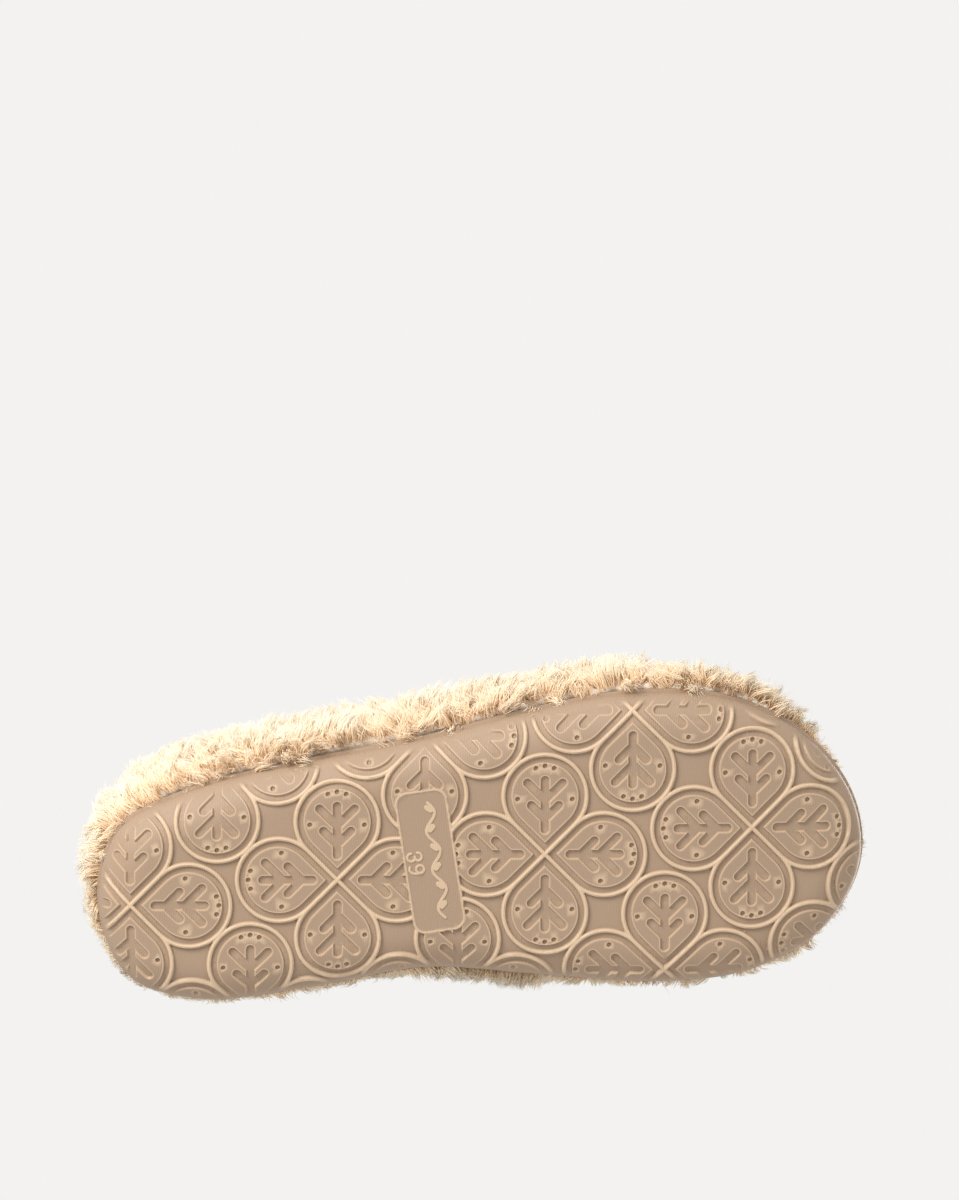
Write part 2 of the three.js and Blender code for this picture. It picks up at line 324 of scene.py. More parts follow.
def reliefLines():
    # every line that the tread's mesh has to follow, as (points, closed)
    r, step = tread["dropRadius"], tread["step"]
    foot, edge, wall = tread["ridgeHalf"], tread["plateauInset"], tread["wall"]
    angles = np.radians(np.linspace(-135, 135, round(1.5 * math.pi * r / step) + 1))
    drop = []
    for o in (foot, foot * 0.6, 0, -foot * 0.6, -foot, wall - edge, -wall - edge, -0.8 - edge):
        arc = np.column_stack([r * math.sqrt(2) + (r + o) * np.cos(angles), (r + o) * np.sin(angles)])
        if o > 0:
            drop.append((arc, False))
            continue
        a = np.arange(r - step, 0.3 - o, -step)
        leg = turned(np.column_stack([a, np.full(len(a), o)]), 45)
        tip = np.array([[-o * math.sqrt(2), 0]])
        drop.append((np.vstack([arc, leg, tip, (leg * [1, -1])[::-1]]), True))
    for line in sprig["strokes"]:
        count = max(2, round(math.dist(*line) / step))
        points = np.linspace(*line, count)
        for o in (-wall, wall, 0.7):
            ring = besideStroke(points, tread["channelHalf"] + o)
            drop.append((ring, True))
            if line[1][1]:
                drop.append((ring * [1, -1], True))
    for u, v, radius in sprig["pips"]:
        turn = np.radians(np.arange(0, 360, 36))
        for o in (-wall, wall):
            ring = np.array([u, v]) + (radius + o) * np.column_stack([np.cos(turn), np.sin(turn)])
            drop.append((ring, True))
            if v:
                drop.append((ring * [1, -1], True))
    out = [(turned(points, angle) + c, closed) for c, angle in dropFrames() for points, closed in drop]

    marks = []
    for line, half in labelStrokes():
        marks += [besideStroke(line, half + o) for o in (-0.15, 0.15)]
    half, corner = np.array(label["half"]), label["corner"]
    for o in (0.3, -0.1, -0.5, -1.05):
        rounded = []
        for sx, sy, start in ((1, 1, 0), (-1, 1, 90), (-1, -1, 180), (1, -1, 270)):
            arc = np.radians(start + np.arange(0, 91, 18))
            middle = (half - corner) * [sx, sy]
            rounded += list(middle + (corner + o) * np.column_stack([np.cos(arc), np.sin(arc)]))
        marks.append(evenly(np.array(rounded), 0.8))
    return out + [(turned(line, label["lean"]) + np.array(label["centre"]), True) for line in marks]


def nearestOnOutline(points):
    tree = KDTree(len(outline))
    for i, p in enumerate(outline):
        tree.insert((p[0], p[1], 0), i)
    tree.balance()
    found = [tree.find((p[0], p[1], 0)) for p in points]
    index = np.array([f[1] for f in found])
    along = np.roll(outline, -1, axis=0) - np.roll(outline, 1, axis=0)
    along /= np.linalg.norm(along, axis=1, keepdims=True)
    outward = np.column_stack([-along[:, 1], along[:, 0]])[index]
    inset = -((points - outline[index]) * outward).sum(axis=1)
    return inset, outward


def makeOutsole():
    rim = evenly(outline, 1.0)
    rimOut = outwardOf(rim)
    step = tread["field"]
    grid = np.stack(np.meshgrid(np.arange(2, 265, step), np.arange(-44, 58, step)), -1).reshape(-1, 2)
    points, edges = [rim, grid] + [rim - rimOut * q for q in tread["rings"]], []
    count = sum(map(len, points))
    for line, closed in reliefLines():
        index = count + np.arange(len(line))
        edges.append(np.column_stack([index, np.roll(index, -1)])[:None if closed else -1])
        points.append(line)
        count += len(line)
    points, edges = np.vstack(points), np.vstack(edges)
    inset, _ = nearestOnOutline(points)
    keep = inset > 0.1
    keep[:len(rim)] = True
    moved = np.cumsum(keep) - 1
    edges = moved[edges[keep[edges].all(axis=1)]]
    edgeRing = [list(range(len(rim)))]
    found = delaunay_2d_cdt([Vector(p) for p in points[keep]], edges.tolist(), edgeRing, 1, 0.03)
    flat = np.array([tuple(v) for v in found[0]])
    inset, outward = nearestOnOutline(flat)
    inset = np.maximum(inset, 0)
    rise, pale = reliefAt(flat)
    width, height = sole["rollWidth"], sole["rollHeight"]
    turn = np.arcsin(np.clip(1 - inset / width, 0, 1))
    normal = np.column_stack([outward * (np.sin(turn) / width)[:, None], -np.cos(turn) / height])
    normal /= np.linalg.norm(normal, axis=1, keepdims=True)
    fade = smoothStep(inset, *tread["fade"])
    depth = (tread["ridgeHeight"] - rise) * fade + tread["edgeDepth"] * (1 - fade)
    z = height * (1 - np.cos(turn)) + springAt(flat[:, 0]) - normal[:, 2] * depth
    flat = flat - normal[:, :2] * depth[:, None]
    places = toFrame(flat[:, 0], flat[:, 1], z)

    bm = bmesh.new()
    paleLayer = bm.verts.layers.float.new("pale")
    verts = [bm.verts.new(p) for p in places]
    for v, amount in zip(verts, pale * fade):
        v[paleLayer] = amount
    for face in found[2]:
        bm.faces.new([verts[i] for i in face])
    bm.normal_update()
    middle = max(bm.faces, key=lambda f: f.calc_area())
    if middle.normal.z > 0:
        bmesh.ops.reverse_faces(bm, faces=bm.faces)

    # the wall, the lip and the cup inside it grow from the edge of the tread, one row at a time
    top, proud = sole["wallTop"], sole["lipProud"]
    rows = [(0.3, height + 0.8), (0.35, top - 3.1), (0.5, top - 2.35), (0.5, top - 2.1)]
    rows += [(-proud * 0.7, top - 1.75), (-proud, top - 1.3), (-proud, top - 0.6)]
    rows += [(-proud * 0.5, top - 0.12), (0.2, top)]
    rows += [(inset, top + over) for inset, over in sole["cup"]]
    ringEdges = [e for e in bm.edges if e.is_boundary]
    order = {verts[i]: k for i, first in enumerate(found[3]) for k in first if k < len(rim)}
    for inset, z in rows:
        grown = bmesh.ops.extrude_edge_only(bm, edges=ringEdges)["geom"]
        fresh = [v for v in grown if isinstance(v, bmesh.types.BMVert)]
        ringEdges = [e for e in grown if isinstance(e, bmesh.types.BMEdge)]
        nextOrder = {}
        for v in fresh:
            below = next(e.other_vert(v) for e in v.link_edges if e.other_vert(v) in order)
            k = order[below]
            p = rim[k] - rimOut[k] * inset
            v.co = Vector(toFrame(p[:1], p[1:], z + springAt(p[:1]))[0])
            nextOrder[v] = k
        order = nextOrder
    bmesh.ops.holes_fill(bm, edges=ringEdges, sides=0)
    bmesh.ops.triangulate(bm, faces=[f for f in bm.faces if len(f.verts) > 4])
    bmesh.ops.recalc_face_normals(bm, faces=bm.faces)
    return fromBmesh("outsole_tread", bm, soleMaterial(), crease=38)


soleLook = {
    "field": (0.365, 0.258, 0.178, 1),
    # pale is the colour of the ridge tops and label marks, and of the painted highlight along the plateau
    # edges
    "pale": (0.63, 0.47, 0.32, 1),
    "hatch": 520.0,
    "grain": 1400.0,
    "shade": 0.16,
    "bump": 0.5,
    "roughness": 0.6,
}


def soleMaterial():
    look = soleLook
    material, tree, shader = newMaterial("soleRubber")
    links = tree.links
    where = node(tree, "ShaderNodeTexCoord")
    pale = node(tree, "ShaderNodeAttribute", attribute_name="pale")
    tone = node(tree, "ShaderNodeMix", data_type="RGBA")
    tone.inputs["A"].default_value = look["field"]
    tone.inputs["B"].default_value = look["pale"]
    links.new(pale.outputs["Fac"], tone.inputs["Factor"])
    hatch = node(tree, "ShaderNodeTexWave", Scale=look["hatch"], Distortion=1.0, Detail=2.0)
    hatch.bands_direction = "Y"
    links.new(where.outputs["Object"], hatch.inputs["Vector"])
    grain = node(tree, "ShaderNodeTexNoise", Scale=look["grain"], Detail=3.0)
    links.new(where.outputs["Object"], grain.inputs["Vector"])
    both = node(tree, "ShaderNodeMix", data_type="FLOAT", Factor=0.5)
    links.new(hatch.outputs["Fac"], both.inputs["A"])
    links.new(grain.outputs["Fac"], both.inputs["B"])
    shade = node(tree, "ShaderNodeMix", data_type="RGBA", blend_type="MULTIPLY", Factor=look["shade"])
    links.new(tone.outputs["Result"], shade.inputs["A"])
    links.new(both.outputs["Result"], shade.inputs["B"])
    links.new(shade.outputs["Result"], shader.inputs["Base Color"])
    bump = node(tree, "ShaderNodeBump", Strength=look["bump"], Distance=0.00014)
    links.new(both.outputs["Result"], bump.inputs["Height"])
    links.new(bump.outputs["Normal"], shader.inputs["Normal"])
    shader.inputs["Roughness"].default_value = look["roughness"]
    return material


print("outsole")
outsole = makeOutsole()
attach(outsole, "root")
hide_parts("outsole")


# Curly pile. A lock is a few strands that start apart and wind together towards the tip. Sizes are in mm.
outerPile = {
    "thickness": 6.0,
    "backing": 1.5,
    "bulge": 2.4,  # how much further out it lies along the outer side
    "mound": 2.4,
    "lockEvery": 4.2,
    "strands": 38,
    "spread": 3.2,
    "stray": 0.32,  # share of strands that lean out of their lock and fill the gaps
    "length": (5.0, 10.0),
    "curl": (0.7, 1.5),
    "turns": (0.3, 0.75),
    "lean": 0.5,
    "droop": 0.12,
    "soft": 0.45,  # how far a strand is shaded like the surface that it grows from
    "radius": 0.18,
    "rings": 3,
    "perPiece": 12000,
    "clear": 6,  # a face shows if nothing lies this near in front of it
    "until": 300,  # strands grow up to this distance from the heel
    "seed": 11,
}
innerPile = {
    "thickness": 4.9,
    "backing": 1.9,
    "bulge": 0,
    "mound": 1.5,
    "lockEvery": 3.3,
    "strands": 10,
    "spread": 2.4,
    "stray": 0.4,
    "length": (3.0, 4.8),
    "curl": (0.6, 1.1),
    "turns": (0.3, 0.8),
    "lean": 0.5,
    "droop": 0.0,
    "soft": 0.4,
    "radius": 0.22,
    "rings": 3,
    "perPiece": 12000,
    "clear": 5,
    "until": 150,
    "seed": 23,
}
collarPile = dict(innerPile, thickness=3.0, backing=0.4, mound=1.2, strands=18, length=(3.2, 4.8),
                  clear=2.5, until=300)
# How every pile gathers, winds and changes from place to place.
habit = {
    "seed": 7,  # of the combing, which follows the clock without one
    "patches": 70,  # how fine the patches of longer and paler locks are
    "combing": 45,  # how fine the changes of direction are
    "gather": (0.8, -0.5, 0.08),  # a strand of the lock, a stray one, and their spread
    "uneven": (0.82, 1.08),
    "bend": 0.22,
    "overLip": 7,  # locks this near the sole's lip hang down over it and are painted darker, as painted shade where the pile meets the sole
    "hang": 1.8,
    "lipPaintedShade": 0.5,
    "taper": 0.62,
    "apart": 0.72,  # least distance between two locks, as a share of their spacing
    "moundWidth": 0.42,
    "fine": 2.1,  # longest edge of a backing
}
noise.seed_set(habit["seed"])
# Where the outer pile stands out and where it's pressed down, in mm from the heel and from the middle.
fullness = {
    "side": (5, 35),
    "toes": (236, 250),
    "extra": 0.22,
    "innerSide": (5, 30),
    "low": (34, 52),
    "tip": (242, 258),
    "pressed": 0.52,
    "waist": (143, 32),
    "toeCorner": (243, 9),
    "heel": (90, 130),
}


def openSide(nodeName, reach=6):
    # a CAD node as a bmesh, with the faces that nothing covers: those are the side that shows
    bm = bmesh.new()
    bm.from_mesh(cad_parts[nodeName].data)
    bmesh.ops.remove_doubles(bm, verts=bm.verts, dist=1e-6)
    bm.normal_update()
    shown = []
    for face in bm.faces:
        start = face.calc_center_median() + face.normal * 0.02 * mm
        if all(tree.ray_cast(start, face.normal, reach * mm)[0] is None for tree in coverTrees):
            shown.append(face)
    return bm, shown


def fuller(x, forward):
    # 1 where the pile stands out most, along the outer side as far as the toes
    return smoothStep(-x, *fullness["side"]) * (1 - smoothStep(forward, *fullness["toes"]))


def lowered(bm, shown, look):
    # moves the side that shows inwards, and gives back its triangles as places and corner normals
    openLayer = bm.verts.layers.float.new("open")
    ways = {}
    for face in shown:
        for v in face.verts:
            ways.setdefault(v, Vector())
            ways[v] += face.normal * face.calc_area()
    for v, way in ways.items():
        full = fuller(v.co.x / mm, (soleHigh.y - v.co.y) / mm)
        v.co -= way.normalized() * (look["thickness"] - look["backing"] - look["bulge"] * full) * mm
        v[openLayer] = 1
    corners = np.array([[v.co for v in face.verts] for face in shown])
    normals = np.array([[ways[v].normalized() for v in face.verts] for face in shown])
    return corners, normals


def mounded(bm, locks, look):
    # raises a soft mound under every lock
    for _ in range(4):
        openLayer = bm.verts.layers.float["open"]
        long = [e for e in bm.edges if e.calc_length() > habit["fine"] * mm
                and min(v[openLayer] for v in e.verts) > 0.9]
        if not long:
            break
        bmesh.ops.subdivide_edges(bm, edges=long, cuts=1)
        bmesh.ops.triangulate(bm, faces=[f for f in bm.faces if len(f.verts) > 3])
    bm.normal_update()
    openLayer = bm.verts.layers.float["open"]
    # the height is kept on the mesh; the backing's colour reads it to paint shade into the hollows
    # between locks
    height = bm.verts.layers.float.new("height")
    tree = KDTree(len(locks))
    for i, p in enumerate(locks):
        tree.insert(p, i)
    tree.balance()
    moves = []
    for v in bm.verts:
        if v[openLayer] > 0.99:
            away = tree.find(v.co)[2] / mm
            v[height] = math.exp(-(away / (habit["moundWidth"] * look["lockEvery"])) ** 2)
            moves.append((v, v.normal * v[height] * look["mound"] * mm))
    for v, move in moves:
        v.co += move


def scattered(corners, normals, every, rng):
    # places spread over the triangles, none too close to another
    cross = np.cross(corners[:, 1] - corners[:, 0], corners[:, 2] - corners[:, 0])
    area = np.linalg.norm(cross, axis=1) / 2
    count = int(area.sum() / (every * mm) ** 2 * 5)
    pick = rng.choice(len(area), count, p=area / area.sum())
    a, b = rng.random(count), rng.random(count)
    flip = a + b > 1
    a[flip], b[flip] = 1 - a[flip], 1 - b[flip]
    weight = np.column_stack([1 - a - b, a, b])[:, :, None]
    place = (corners[pick] * weight).sum(axis=1)
    normal = (normals[pick] * weight).sum(axis=1)
    normal /= np.linalg.norm(normal, axis=1, keepdims=True)
    cell = habit["apart"] * every * mm
    taken, kept = {}, []
    for i, key in enumerate(map(tuple, np.floor(place / cell).astype(int))):
        near = [taken.get((key[0] + x, key[1] + y, key[2] + z)) for x in (-1, 0, 1) for y in (-1, 0, 1)
                for z in (-1, 0, 1)]
        if all(j is None or np.linalg.norm(place[i] - place[j]) > cell for j in near):
            taken[key] = i
            kept.append(i)
    return place[kept], normal[kept]


def unit(v):
    return v / np.maximum(1e-12, np.linalg.norm(v, axis=-1, keepdims=True))


def lengthShare(place):
    # the pile is pressed shorter round the toe and low on the inner side, but for the hollow of the waist
    x, forward = place[:, 0] / mm, (soleHigh.y - place[:, 1]) / mm
    waist, toeCorner = [np.exp(-((forward - fullness[at][0]) / fullness[at][1]) ** 2)
                        for at in ("waist", "toeCorner")]
    inner = smoothStep(x, *fullness["innerSide"]) * (1 - 0.9 * waist - 0.9 * toeCorner)
    inner = inner * (1.25 - 0.25 * smoothStep(forward, *fullness["heel"]))
    low = 1 - smoothStep(place[:, 2] / mm, *fullness["low"])
    toe = smoothStep(forward, *fullness["tip"])
    standing = 1 + fullness["extra"] * fuller(x, forward)
    return standing * (1 - fullness["pressed"] * np.maximum(inner, toe) * low)


def strandsOn(place, normal, look, rng):
    # centre lines of all strands (strand, ring, xyz) in metres, and a shade for each from 0 to 1, lowered
    # near the sole's lip as painted shade
    locks, each, rings = len(place), look["strands"], look["rings"]
    patch = np.array([noise.noise(Vector(p) * habit["patches"]) for p in place])
    comb = np.array([noise.noise_vector(Vector(p) * habit["combing"]) for p in place])
    comb = comb + 0.25 * rng.normal(size=(locks, 3))
    side = unit(comb - normal * (comb * normal).sum(axis=1, keepdims=True))
    other = np.cross(normal, side)
    low, high = look["length"]
    share = np.clip(0.5 + 0.9 * patch + 0.25 * rng.normal(size=locks), 0, 1)
    length = (low + (high - low) * share) * mm * lengthShare(place)
    curl = rng.uniform(*look["curl"], locks) * mm
    turns = rng.uniform(*look["turns"], locks) * rng.choice([-1, 1], locks)
    start = rng.uniform(0, 2 * math.pi, locks)
    overLip = place[:, 2] / mm - springAt((soleHigh.y - place[:, 1]) / mm) - sole["wallTop"]
    nearLip = 1 - smoothStep(overLip, 0, habit["overLip"])
    droop = look["droop"] * (1 + habit["hang"] * nearLip)
    lean = side * look["lean"] * rng.uniform(0.3, 1, (locks, 1)) - droop[:, None] * np.array([0, 0, 1])

    own = np.repeat(np.arange(locks), each)
    count = len(own)
    angle = rng.uniform(0, 2 * math.pi, count)
    reach = np.sqrt(rng.random(count)) * look["spread"] * mm
    root = side[own] * (np.cos(angle) * reach)[:, None] + other[own] * (np.sin(angle) * reach)[:, None]
    stray = (rng.random(count) < look["stray"])[:, None]
    held, loose, spread = habit["gather"]
    gather = np.where(stray, loose, held) + rng.normal(size=(count, 1)) * spread
    height = length[own] * rng.uniform(*habit["uneven"], count)
    phase = start[own] + rng.normal(size=count) * 0.35
    t = np.linspace(0, 1, rings + 1)[None, :, None]
    wind = phase[:, None] + 2 * math.pi * turns[own][:, None] * t[:, :, 0]
    swing = (curl[own][:, None] * t[:, :, 0] ** 0.7)[:, :, None]
    line = place[own][:, None] + root[:, None] * (1 - gather[:, None] * t)
    line = line + normal[own][:, None] * (height[:, None, None] * (t - habit["bend"] * t**2))
    line = line + lean[own][:, None] * (height[:, None, None] * t**2)
    line = line + side[own][:, None] * swing * (np.cos(wind) - np.cos(phase)[:, None])[:, :, None]
    line = line + other[own][:, None] * swing * (np.sin(wind) - np.sin(phase)[:, None])[:, :, None]
    # near the lip the shade drops: painted shade where the pile meets the sole
    shade = 0.5 + 0.55 * patch[own] + 0.16 * rng.normal(size=count) - habit["lipPaintedShade"] * nearLip[own]
    return line, np.clip(shade, 0, 1), normal[own]


def strandMesh(name, lines, shade, ground, look, material):
    # three-sided tapering tubes; the map holds each strand's shade across and its root to tip upwards
    count, rings = lines.shape[0], lines.shape[1] - 1
    along = unit(np.gradient(lines, axis=1))
    sideways = unit(np.cross(ground, [0.3, 0.2, 1.0]))[:, None]
    across = unit(np.cross(along, sideways))
    over = np.cross(along, across)
    t = np.arange(rings) / rings
    width = (look["radius"] * mm * (1 - habit["taper"] * t))[None, :, None, None]
    turn = np.radians([0, 120, 240])
    ring = across[:, :rings, None] * np.cos(turn)[:, None] + over[:, :rings, None] * np.sin(turn)[:, None]
    body = (lines[:, :rings, None] + ring * width).reshape(count, rings * 3, 3)
    places = np.concatenate([body, lines[:, -1:]], axis=1)
    tip = rings * 3
    corners = [(0, 2, 1)]
    for r in range(rings - 1):
        for k in range(3):
            a, b = r * 3 + k, r * 3 + (k + 1) % 3
            corners += [(a, b, b + 3), (a, b + 3, a + 3)]
    corners += [(tip - 3 + k, tip - 3 + (k + 1) % 3, tip) for k in range(3)]
    each = rings * 3 + 1
    faces = (np.array(corners)[None] + np.arange(count)[:, None, None] * each).reshape(-1, 3)

    mesh = bpy.data.meshes.new(name)
    mesh.vertices.add(count * each)
    mesh.vertices.foreach_set("co", places.astype(np.float32).ravel())
    mesh.loops.add(faces.size)
    mesh.loops.foreach_set("vertex_index", faces.astype(np.int32).ravel())
    mesh.polygons.add(len(faces))
    mesh.polygons.foreach_set("loop_start", np.arange(0, faces.size, 3, dtype=np.int32))
    level = np.append(np.repeat(t, 3), 1.0)
    apart = np.append(np.tile([-0.004, 0, 0.004], rings), 0)
    u = np.clip(shade[:, None] * 0.98 + 0.01 + apart, 0, 1)
    at = np.stack([u, np.tile(level * 0.98 + 0.01, (count, 1))], -1).reshape(-1, 2)[faces.ravel()]
    mesh.uv_layers.new(name="OFBake").uv.foreach_set("vector", at.astype(np.float32).ravel())
    mesh.update(calc_edges=True)
    own = np.concatenate([ring.reshape(count, rings * 3, 3), along[:, -1:]], axis=1)
    way = unit((1 - look["soft"]) * own + look["soft"] * ground[:, None])
    mesh.normals_split_custom_set_from_vertices(way.reshape(-1, 3))
    return link(name, mesh, material)


def pileMaterial(name, look):
    # colour runs from root to tip and from lock to lock, both read from the strands' own map; the darker
    # tan towards the root is partly the fibre's own tone and partly painted shade deep in the pile
    material, tree, shader = newMaterial(name)
    links = tree.links
    where = node(tree, "ShaderNodeUVMap", uv_map="OFBake")
    part = node(tree, "ShaderNodeSeparateXYZ")
    links.new(where.outputs["UV"], part.inputs["Vector"])
    ramps = []
    for colours in (look["dark"], look["light"]):
        ramp = node(tree, "ShaderNodeValToRGB")
        ramp.color_ramp.elements[0].color = (*colours[0], 1)
        ramp.color_ramp.elements[1].color = (*colours[2], 1)
        ramp.color_ramp.elements[1].position = 0.85
        ramp.color_ramp.elements.new(0.4).color = (*colours[1], 1)
        links.new(part.outputs["Y"], ramp.inputs["Fac"])
        ramps.append(ramp)
    grain = node(tree, "ShaderNodeTexNoise", Scale=90.0, Detail=2.0)
    links.new(where.outputs["UV"], grain.inputs["Vector"])
    spread = node(tree, "ShaderNodeMath", operation="MULTIPLY_ADD")
    spread.inputs[1].default_value, spread.inputs[2].default_value = 0.35, -0.17
    links.new(grain.outputs["Fac"], spread.inputs[0])
    shade = node(tree, "ShaderNodeMath", operation="ADD", use_clamp=True)
    links.new(part.outputs["X"], shade.inputs[0])
    links.new(spread.outputs["Value"], shade.inputs[1])
    mix = node(tree, "ShaderNodeMix", data_type="RGBA")
    links.new(shade.outputs["Value"], mix.inputs["Factor"])
    links.new(ramps[0].outputs["Color"], mix.inputs["A"])
    links.new(ramps[1].outputs["Color"], mix.inputs["B"])
    links.new(mix.outputs["Result"], shader.inputs["Base Color"])
    shader.inputs["Roughness"].default_value = 0.8
    shader.inputs["Specular IOR Level"].default_value = 0.05
    return material


def backingMaterial(name, colour):
    material, tree, shader = newMaterial(name)
    links = tree.links
    where = node(tree, "ShaderNodeTexCoord")
    cloud = node(tree, "ShaderNodeTexNoise", Scale=1300.0, Detail=3.0, Distortion=1.5)
    knit = node(tree, "ShaderNodeTexNoise", Scale=2200.0, Detail=3.0, Distortion=3.0)
    tone = node(tree, "ShaderNodeMix", data_type="RGBA")
    tone.inputs["A"].default_value = (*colour[0], 1)
    tone.inputs["B"].default_value = (*colour[1], 1)
    bump = node(tree, "ShaderNodeBump", Strength=0.8, Distance=0.0005)
    links.new(where.outputs["Object"], cloud.inputs["Vector"])
    links.new(where.outputs["Object"], knit.inputs["Vector"])
    height = node(tree, "ShaderNodeAttribute", attribute_name="height")
    # paler on top of each mound and darker in the hollows between locks: painted shade
    both = node(tree, "ShaderNodeMath", operation="MULTIPLY_ADD", use_clamp=True)
    both.inputs[1].default_value = 0.9
    links.new(cloud.outputs["Fac"], both.inputs[0])
    links.new(height.outputs["Fac"], both.inputs[2])
    links.new(both.outputs["Value"], tone.inputs["Factor"])
    links.new(tone.outputs["Result"], shader.inputs["Base Color"])
    links.new(knit.outputs["Fac"], bump.inputs["Height"])
    links.new(bump.outputs["Normal"], shader.inputs["Normal"])
    shader.inputs["Roughness"].default_value = 0.95
    return material


def growPile(nodeName, prefix, look, strandLook, backLook):
    rng = np.random.default_rng(look["seed"] + len(nodeName))
    bm, shown = openSide(nodeName, look["clear"])
    corners, normals = lowered(bm, shown, look)
    place, normal = scattered(corners, normals, look["lockEvery"], rng)
    mounded(bm, place, look)
    back = fromBmesh(prefix + "_backing", bm, backLook)
    made = [back]
    grown = soleHigh.y - place[:, 1] < look["until"] * mm
    place, normal = place[grown], normal[grown]
    lines, shade, ground = strandsOn(place + normal * look["mound"] * 0.5 * mm, normal, look, rng)
    pieces = math.ceil(len(lines) / look["perPiece"])
    order = np.argsort(lines[:, 0, 1])  # a piece holds one stretch of the slipper
    for k, part in enumerate(np.array_split(order, pieces)):
        name = f"{prefix}_pile_{k + 1}"
        made.append(strandMesh(name, lines[part], shade[part], ground[part], look, strandLook))
    for piece in made:
        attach(piece, "root")
        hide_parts(nodeName)
    faces = len(back.data.polygons)
    print(" ", nodeName, len(place), "locks", len(lines), "strands", faces, "backing faces")
    return made


print("outer pile")
coverTrees = []
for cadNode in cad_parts.values():
    coverTrees.append(BVHTree.FromPolygons([v.co for v in cadNode.data.vertices],
                                           [p.vertices for p in cadNode.data.polygons]))
# each ramp runs root, middle, tip; its darker roots are partly the fibre's tone and partly painted shade
# deep in the pile
outerLook = {
    "dark": ((0.57, 0.36, 0.20), (0.84, 0.63, 0.42), (0.92, 0.78, 0.59)),
    "light": ((0.76, 0.54, 0.33), (0.95, 0.81, 0.62), (0.97, 0.91, 0.80)),
}
outerStrands = pileMaterial("curlyPile", outerLook)
outerBack = backingMaterial("pileBacking", ((0.60, 0.44, 0.29), (0.93, 0.83, 0.70)))
for nodeName in ("vamp_outer", "quarter_outer_lateral", "quarter_outer_medial"):
    growPile(nodeName, nodeName.replace("_outer", ""), outerPile, outerStrands, outerBack)

print("lining, footbed and collar")
innerLook = {
    "dark": ((0.66, 0.50, 0.34), (0.86, 0.73, 0.56), (0.93, 0.83, 0.68)),
    "light": ((0.76, 0.61, 0.44), (0.93, 0.84, 0.70), (0.96, 0.91, 0.82)),
}
innerStrands = pileMaterial("liningPile", innerLook)
innerBack = backingMaterial("liningBacking", ((0.66, 0.50, 0.34), (0.92, 0.82, 0.67)))
for nodeName in ("vamp_lining", "quarter_lining_lateral", "quarter_lining_medial", "footbed_fleece"):
    pieces = growPile(nodeName, nodeName, innerPile, innerStrands, innerBack)
growPile("collar_roll", "collar", collarPile, innerStrands, innerBack)[0]


# The seam that holds the collar: a row of short stitches, each a little pulled in at its ends.
seam = {"long": 3.6, "every": 4.7, "thick": 0.8, "bins": 90}


def makeStitches(material):
    points = np.array([v.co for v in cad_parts["topline_thread"].data.vertices]) / mm
    middle = (points.min(axis=0) + points.max(axis=0)) / 2
    way = np.arctan2(points[:, 1] - middle[1], points[:, 0] - middle[0])
    slot = ((way + math.pi) / (2 * math.pi) * seam["bins"]).astype(int) % seam["bins"]
    line = np.array([points[slot == k].mean(axis=0) for k in range(seam["bins"]) if (slot == k).any()])
    ring = np.vstack([line, line[:1]])
    along = np.concatenate([[0], np.cumsum(np.linalg.norm(np.diff(ring, axis=0), axis=1))])
    count = round(along[-1] / seam["every"])
    bm = bmesh.new()
    for k in range(count):
        ends = [[np.interp((k * along[-1] / count + o) % along[-1], along, ring[:, c]) for c in range(3)]
                for o in (-seam["long"] / 2, seam["long"] / 2)]
        a, b = Vector(ends[0]) * mm, Vector(ends[1]) * mm
        turn = (b - a).to_track_quat("Z", "Y").to_matrix().to_4x4()
        size = Matrix.Diagonal((seam["thick"] / 2 * mm, seam["thick"] / 2 * mm, (b - a).length / 2, 1))
        bmesh.ops.create_uvsphere(bm, u_segments=10, v_segments=8, radius=1,
                                  matrix=Matrix.Translation((a + b) / 2) @ turn @ size)
    return fromBmesh("collar_stitches", bm, material)


# What lies inside the upper and under the foot keeps its own shape and gets its real finish.
finishes = {
    "board": {"dark": (0.50, 0.36, 0.22), "pale": (0.66, 0.50, 0.33),
              "pattern": ("fibre", 420.0), "rough": 0.9},
    "foam": {"dark": (0.70, 0.67, 0.60), "pale": (0.84, 0.82, 0.76),
             "pattern": ("cells", 1100.0), "rough": 0.95},
    "thread": {"dark": (0.72, 0.60, 0.44), "pale": (0.88, 0.78, 0.62),
               "pattern": ("twist", 260.0), "rough": 0.7},
    "stiffener": {"dark": (0.62, 0.58, 0.50), "pale": (0.76, 0.72, 0.64),
                  "pattern": ("fibre", 800.0), "rough": 0.6},
    "felt": {"dark": (0.60, 0.52, 0.42), "pale": (0.78, 0.71, 0.60),
             "pattern": ("fibre", 1500.0), "rough": 1.0},
    "tape": {"dark": (0.80, 0.76, 0.68), "pale": (0.90, 0.87, 0.80),
             "pattern": ("weave", 330.0), "rough": 0.85},
}


